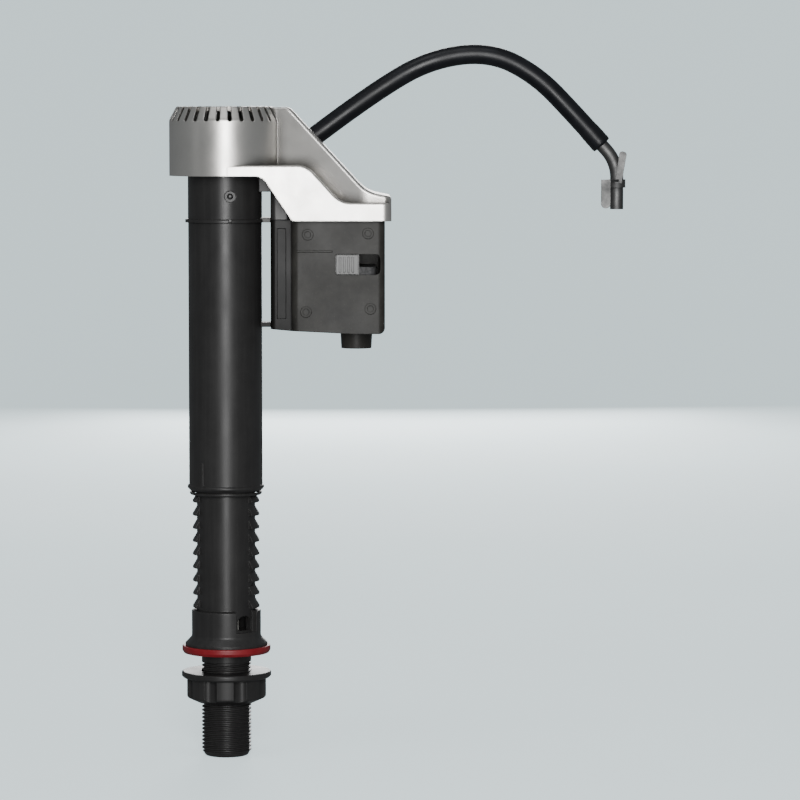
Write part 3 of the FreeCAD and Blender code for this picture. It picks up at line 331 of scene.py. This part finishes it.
# ---------------------------------------------------------------- refill hose
HOSE_R = 4.75 * MM
HOSE_BORE = 3.4 * MM            # the bore's radius
HOSE_LIP = 0.45 * MM            # rounding of each end's edges
MOUTH = 9.0 * MM                # length of the bore that is made inside each end
GRIP = 11.0 * MM                # length that the barbs hold
GRIP_SWELL = 0.16 * MM          # how far the hose is stretched over them
BARB_SWELL = 0.10 * MM          # and how much further over each barb
BARB_STEP = 3.4 * MM
HOSE_Y = 34.0                   # the route lies in one plane, and is in millimetres
HOSE_ROUTE = [
    (14.8, 225.8),
    (34.0, 241.3),
    (72.0, 269.2),
    (98.0, 284.5),
    (127.0, 288.5),
    (150.0, 277.3),
    (169.3, 257.3),
    (182.0, 243.1),
]
HOSE_POINTS = [Vector((x, HOSE_Y, z)) * MM for x, z in HOSE_ROUTE]


def smooth_route(points):
    """Points read from the NURBS spline through the hose's route."""
    curve = bpy.data.curves.new("hose_route", "CURVE")
    curve.dimensions = "3D"
    curve.resolution_u = 24
    spline = curve.splines.new("NURBS")
    spline.points.add(len(points) - 1)
    for place, point in zip(spline.points, points):
        place.co = (*point, 1.0)
    spline.order_u = 3
    spline.use_endpoint_u = True
    route = bpy.data.objects.new("hose_route", curve)
    line = bpy.data.meshes.new_from_object(route)
    read = [vertex.co.copy() for vertex in line.vertices]
    bpy.data.objects.remove(route)
    bpy.data.meshes.remove(line)
    return read


def barb_swell(distance):
    """Extra radius over the barbs, fading out over the last third of the grip."""
    inside = max(0.0, 1.0 - distance / GRIP)
    ripple = 0.5 - 0.5 * math.cos(2 * math.pi * distance / BARB_STEP)
    return (GRIP_SWELL + BARB_SWELL * ripple) * min(1.0, 3.0 * inside)


def mouth(ring, inward):
    """Rings of an open end, from its bore out over the lip to the outer wall."""
    centre, up, radius = ring
    return [
        (centre + inward * MOUTH, up, HOSE_BORE),
        (centre + inward * HOSE_LIP * 0.4, up, HOSE_BORE),
        (centre, up, HOSE_BORE + HOSE_LIP * 0.6),
        (centre, up, radius - HOSE_LIP),
        (centre + inward * HOSE_LIP * 0.4, up, radius - HOSE_LIP * 0.25),
    ]


def hose_mesh(path, sides=64):
    """Hollow tube with rounded lips, slightly swollen where the barbs hold it, and its length."""
    lengths = [0.0]
    for before, after in zip(path, path[1:]):
        lengths.append(lengths[-1] + (after - before).length)
    total = lengths[-1]
    rings = []
    across = Vector((0, 1, 0))
    for i, (centre, distance) in enumerate(zip(path, lengths)):
        ahead = path[min(i + 1, len(path) - 1)] - path[max(i - 1, 0)]
        up = across.cross(ahead.normalized())
        radius = HOSE_R + barb_swell(min(distance, total - distance))
        rings.append((centre, up, radius))
    first_inward = (path[1] - path[0]).normalized()
    last_inward = (path[-2] - path[-1]).normalized()
    profile = mouth(rings[0], first_inward) + rings[1:-1] + mouth(rings[-1], last_inward)[::-1]
    vertices = []
    for centre, up, radius in profile:
        for k in range(sides):
            turn = 2 * math.pi * k / sides
            vertices.append(centre + (up * math.cos(turn) + across * math.sin(turn)) * radius)
    mesh = bpy.data.meshes.new("refill_hose_skin")
    mesh.from_pydata(vertices, [], ring_faces(len(profile), sides))
    mesh.shade_smooth()
    mesh.validate()
    return mesh, total


def make_hose():
    """The refill hose's skin in place of its plain CAD tube."""
    path = smooth_route(HOSE_POINTS)
    mesh, length = hose_mesh(path)
    hose = bpy.data.objects.new("refill_hose_skin", mesh)
    bpy.context.scene.collection.objects.link(hose)
    hose.data.materials.append(MATERIALS["hose_rubber"])
    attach(hose, "head")
    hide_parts("refill_hose")


make_hose()


# ---------------------------------------------------------------- studio
FLOOR_REACH = 3.4               # metres from the middle to the wall
WALL_TOP = 3.0
COVE_R = 1.4                    # the curve from floor to wall
COVE_STEPS = 12
AROUND = 96


def studio_floor(level):
    """Round pale floor that curves up into a wall on every side, outside every camera's place."""
    outline = [(0.3, 0.0), (0.9, 0.0)]
    for k in range(COVE_STEPS + 1):
        turn = math.pi / 2 * k / COVE_STEPS
        out = FLOOR_REACH - COVE_R + COVE_R * math.sin(turn)
        outline.append((out, COVE_R - COVE_R * math.cos(turn)))
    outline.append((FLOOR_REACH, WALL_TOP))
    vertices = [(0.0, 0.0, level)]
    for out, rise in outline:
        for k in range(AROUND):
            turn = 2 * math.pi * k / AROUND
            vertices.append((out * math.cos(turn), out * math.sin(turn), level + rise))
    faces = [(0, 1 + k, 1 + (k + 1) % AROUND) for k in range(AROUND)]
    faces += [face[::-1] for face in ring_faces(len(outline), AROUND, start=1)]
    mesh = bpy.data.meshes.new("studio_floor")
    mesh.from_pydata(vertices, [], faces)
    mesh.shade_smooth()
    floor = bpy.data.objects.new("studio_floor", mesh)
    bpy.context.scene.collection.objects.link(floor)
    made, tree, shader = new_material("studio_paper")
    clouds = remap(tree, noise(tree, 3.0), 0.3, 0.7, 0.0, 1.0)
    paper = mix_colour(tree, clouds, (0.74, 0.82, 0.84), (0.69, 0.77, 0.79))
    tree.links.new(paper, shader.inputs["Base Color"])
    shader.inputs["Roughness"].default_value = 0.9
    shader.inputs["Emission Color"].default_value = (0.66, 0.80, 0.83, 1.0)
    shader.inputs["Emission Strength"].default_value = 1.0
    floor.data.materials.append(made)
    floor.visible_glossy = False
    floor.visible_diffuse = False


def softbox(name, place, aim, width, height, power):
    """Rectangular area light that faces a point and that no camera sees."""
    light = bpy.data.lights.new(name, "AREA")
    light.shape = "RECTANGLE"
    light.size = width
    light.size_y = height
    light.energy = power
    lamp = bpy.data.objects.new(name, light)
    lamp.location = place
    lamp.rotation_euler = (Vector(aim) - Vector(place)).to_track_quat("-Z", "Y").to_euler()
    lamp.visible_camera = False
    bpy.context.scene.collection.objects.link(lamp)


def sky(colour, strength):
    """Even light from all round."""
    world = bpy.data.worlds.new("studio_sky")
    world.use_nodes = True
    background = world.node_tree.nodes["Background"]
    background.inputs["Color"].default_value = (*colour, 1.0)
    background.inputs["Strength"].default_value = strength
    bpy.context.scene.world = world


def camera(target, azimuth, elevation, distance, view_height):
    """Long lens that looks at the target. Azimuth 0 is the object's front, and angles are degrees."""
    lens = bpy.data.cameras.new("camera")
    lens.sensor_width = 36.0
    lens.lens = lens.sensor_width * distance / view_height
    lens.clip_end = 20.0
    turn, rise = math.radians(azimuth), math.radians(elevation)
    back = Vector((math.sin(turn) * math.cos(rise), -math.cos(turn) * math.cos(rise), math.sin(rise)))
    eye = bpy.data.objects.new("camera", lens)
    eye.location = target + back * distance
    eye.rotation_euler = (-back).to_track_quat("-Z", "Y").to_euler()
    bpy.context.scene.collection.objects.link(eye)
    bpy.context.scene.camera = eye


centre = (cad_low + cad_high) / 2
studio_floor(cad_low.z)
camera(centre, azimuth=-0.5, elevation=4.4, distance=1.9, view_height=0.385)
sky(colour=(0.80, 0.85, 0.88), strength=0.20)
softbox("front_strip", (0.10, -1.80, 0.50), aim=(0.10, 0.0, 0.50), width=0.40, height=1.08, power=32.0)
softbox("left_fill", (-1.5, -0.9, 0.6), aim=centre, width=0.4, height=1.0, power=0.25)
softbox("top", (-0.1, -0.5, 1.6), aim=centre, width=1.0, height=0.6, power=4.0)
softbox("back", (0.1, 1.9, 0.6), aim=centre, width=0.6, height=1.2, power=14.0)
